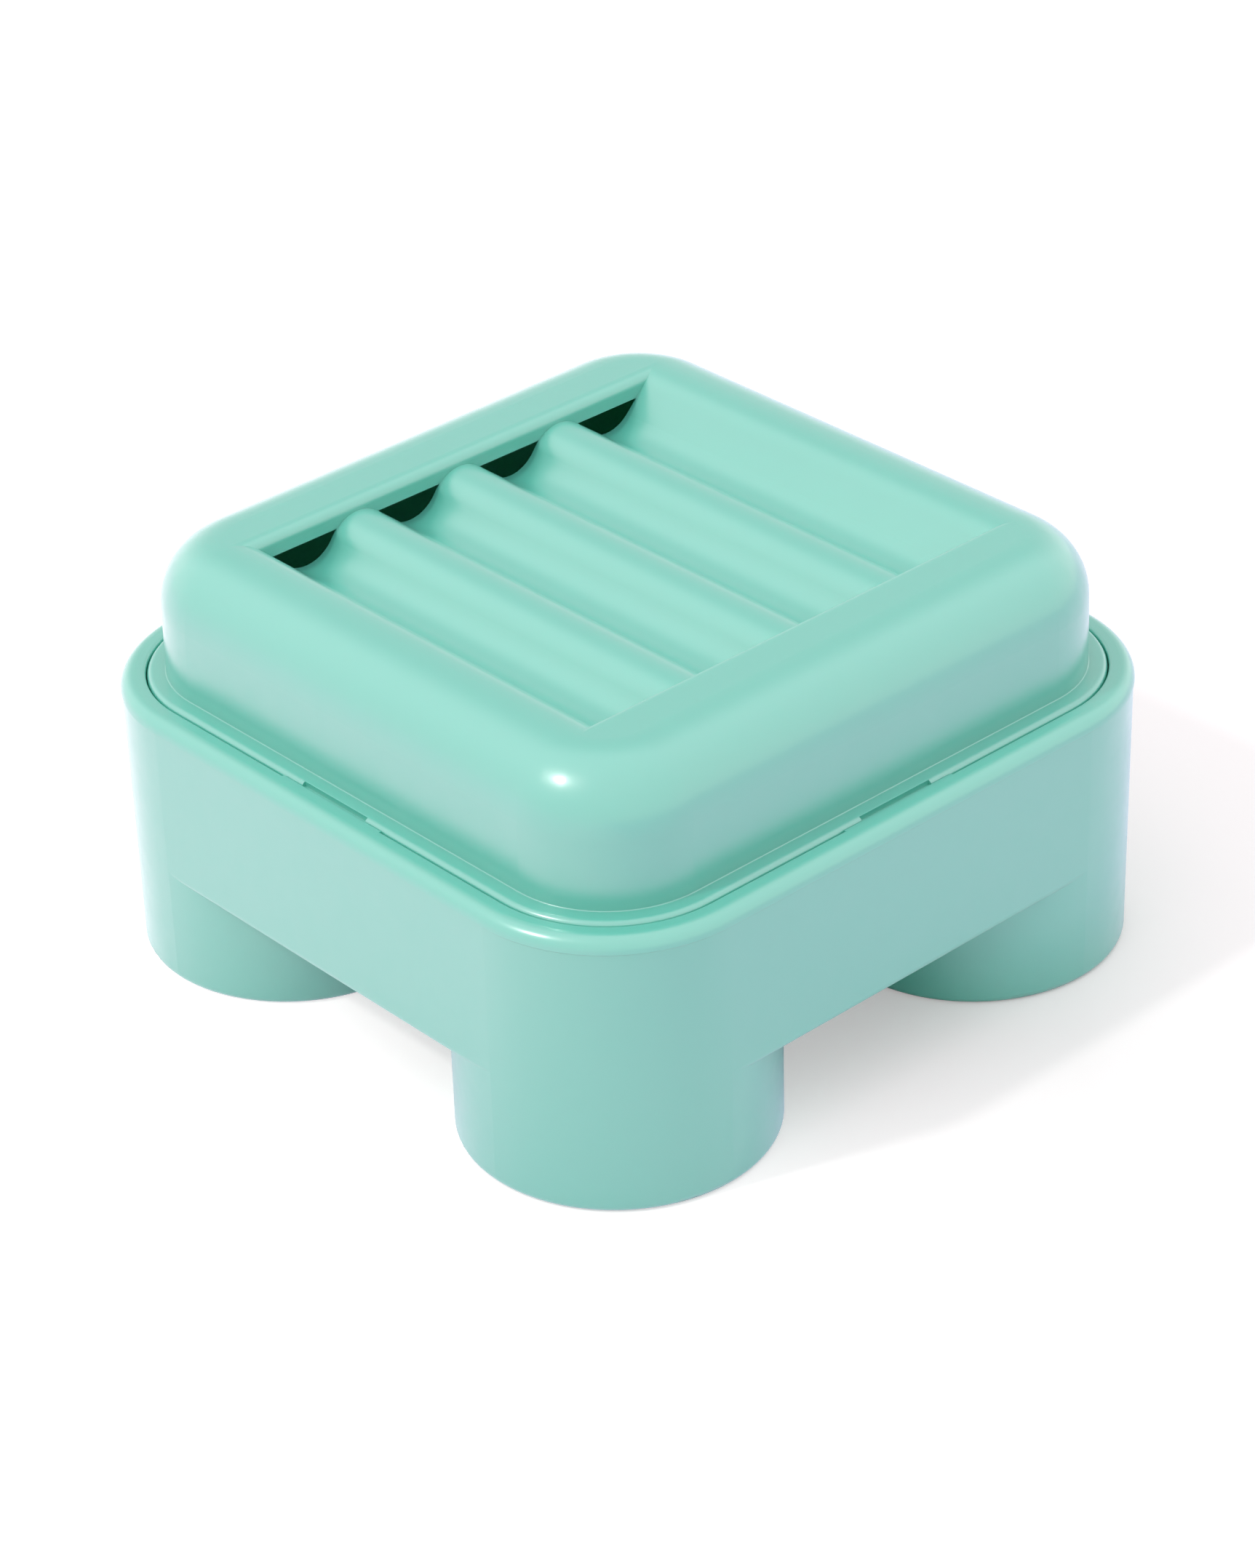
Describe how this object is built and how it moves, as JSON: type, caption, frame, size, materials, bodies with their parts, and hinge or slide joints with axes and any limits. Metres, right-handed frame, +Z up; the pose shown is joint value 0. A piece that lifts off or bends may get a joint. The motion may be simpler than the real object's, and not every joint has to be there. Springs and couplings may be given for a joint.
{
  "type": "travel soap box",
  "caption": "Square plastic soap box on round corner legs, with a lift-off lid whose recessed wavy slats drain water into the box below.",
  "frame": {"origin": "on the surface the box stands on, in the middle between its legs", "axes": "+Z up, +X along the slats of the lid, +Y across them"},
  "size_m": [0.09, 0.09, 0.0499],
  "materials": {
    "base_plastic": "mint green moulded plastic, satin gloss",
    "lid_plastic": "mint green moulded plastic, satin gloss"
  },
  "bodies": {
    "box": {"base_box": "base_plastic"},
    "lid": {"drain_lid": "lid_plastic"}
  },
  "joints": [
    {"name": "lid_lift", "type": "slide", "parent": "box", "child": "lid", "axis": [0, 0, 1], "range_m": [0, 0.04]}
  ]
}
